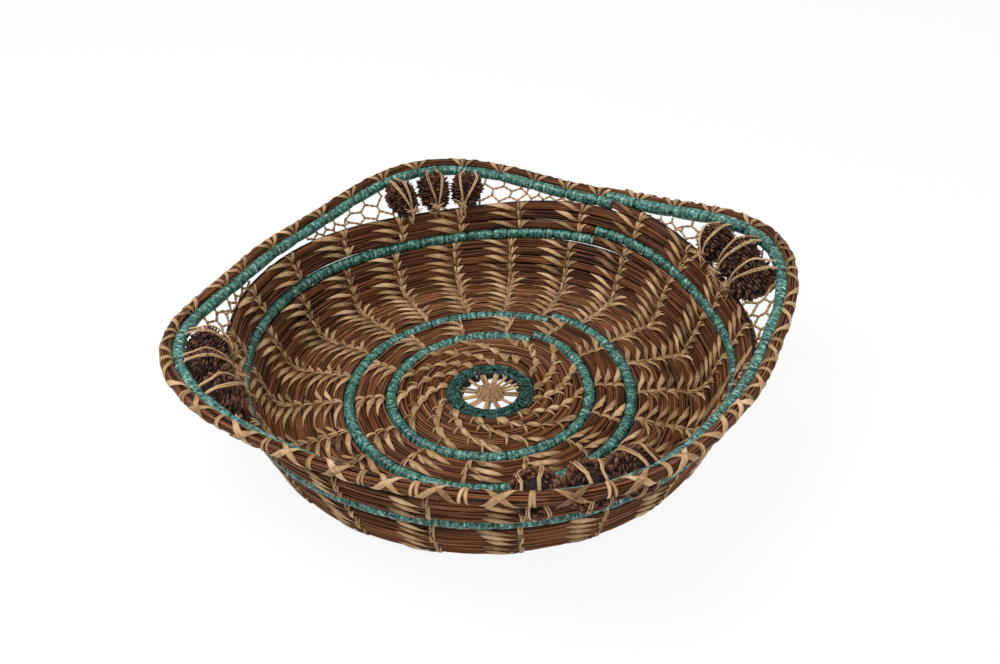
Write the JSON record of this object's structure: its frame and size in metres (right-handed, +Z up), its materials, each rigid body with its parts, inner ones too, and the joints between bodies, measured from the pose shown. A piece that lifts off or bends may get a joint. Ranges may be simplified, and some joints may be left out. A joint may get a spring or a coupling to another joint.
{
  "type": "pine needle basket",
  "caption": "Round coiled pine needle bowl with raffia-wrapped rows, stitched wall, and a flared square rim with seed cones and knotted netting in its corners.",
  "frame": {"origin": "on the table under the middle of the floor", "axes": "+Z up out of the bowl's mouth, +X and +Y through the middles of two sides of the rim, corners near the diagonals"},
  "size_m": [0.2494, 0.2496, 0.0671],
  "materials": {
    "pine_needles": "dried needle bundles with a faint natural sheen",
    "teal_raffia": "dyed raffia, satin, wound in narrow bands",
    "green_raffia": "dark dyed raffia in blanket stitch",
    "natural_raffia": "undyed raffia, dry satin",
    "seed_cones": "dry woody scales, matt"
  },
  "bodies": {
    "root": {"centre_rosette": "natural_raffia", "centre_ring": "green_raffia", "needle_coil_floor": "pine_needles", "ring_wrap_1": "teal_raffia", "ring_wrap_2": "teal_raffia", "needle_coil_wall": "pine_needles", "ring_wrap_3": "teal_raffia", "rim_coil": "pine_needles", "rim_wrap": "teal_raffia", "seed_cone_1_1": "seed_cones", "seed_cone_1_2": "seed_cones", "seed_cone_1_3": "seed_cones", "seed_cone_2_1": "seed_cones", "seed_cone_2_2": "seed_cones", "seed_cone_2_3": "seed_cones", "seed_cone_3_1": "seed_cones", "seed_cone_3_2": "seed_cones", "seed_cone_3_3": "seed_cones", "seed_cone_4_1": "seed_cones", "seed_cone_4_2": "seed_cones", "seed_cone_4_3": "seed_cones", "corner_net_1_right": "natural_raffia", "corner_net_1_left": "natural_raffia", "corner_net_2_right": "natural_raffia", "corner_net_2_left": "natural_raffia", "corner_net_3_right": "natural_raffia", "corner_net_3_left": "natural_raffia", "corner_net_4_right": "natural_raffia", "corner_net_4_left": "natural_raffia", "stitch_column_1": "natural_raffia", "stitch_column_2": "natural_raffia", "stitch_column_3": "natural_raffia", "stitch_column_4": "natural_raffia", "stitch_column_5": "natural_raffia", "stitch_column_6": "natural_raffia", "stitch_column_7": "natural_raffia", "stitch_column_8": "natural_raffia", "stitch_column_9": "natural_raffia", "stitch_column_10": "natural_raffia", "stitch_column_11": "natural_raffia", "stitch_column_12": "natural_raffia", "stitch_column_13": "natural_raffia", "stitch_column_14": "natural_raffia", "stitch_column_15": "natural_raffia", "stitch_column_16": "natural_raffia", "stitch_column_17": "natural_raffia", "stitch_column_18": "natural_raffia", "stitch_column_19": "natural_raffia", "stitch_column_20": "natural_raffia", "stitch_column_21": "natural_raffia"}
  },
  "joints": []
}
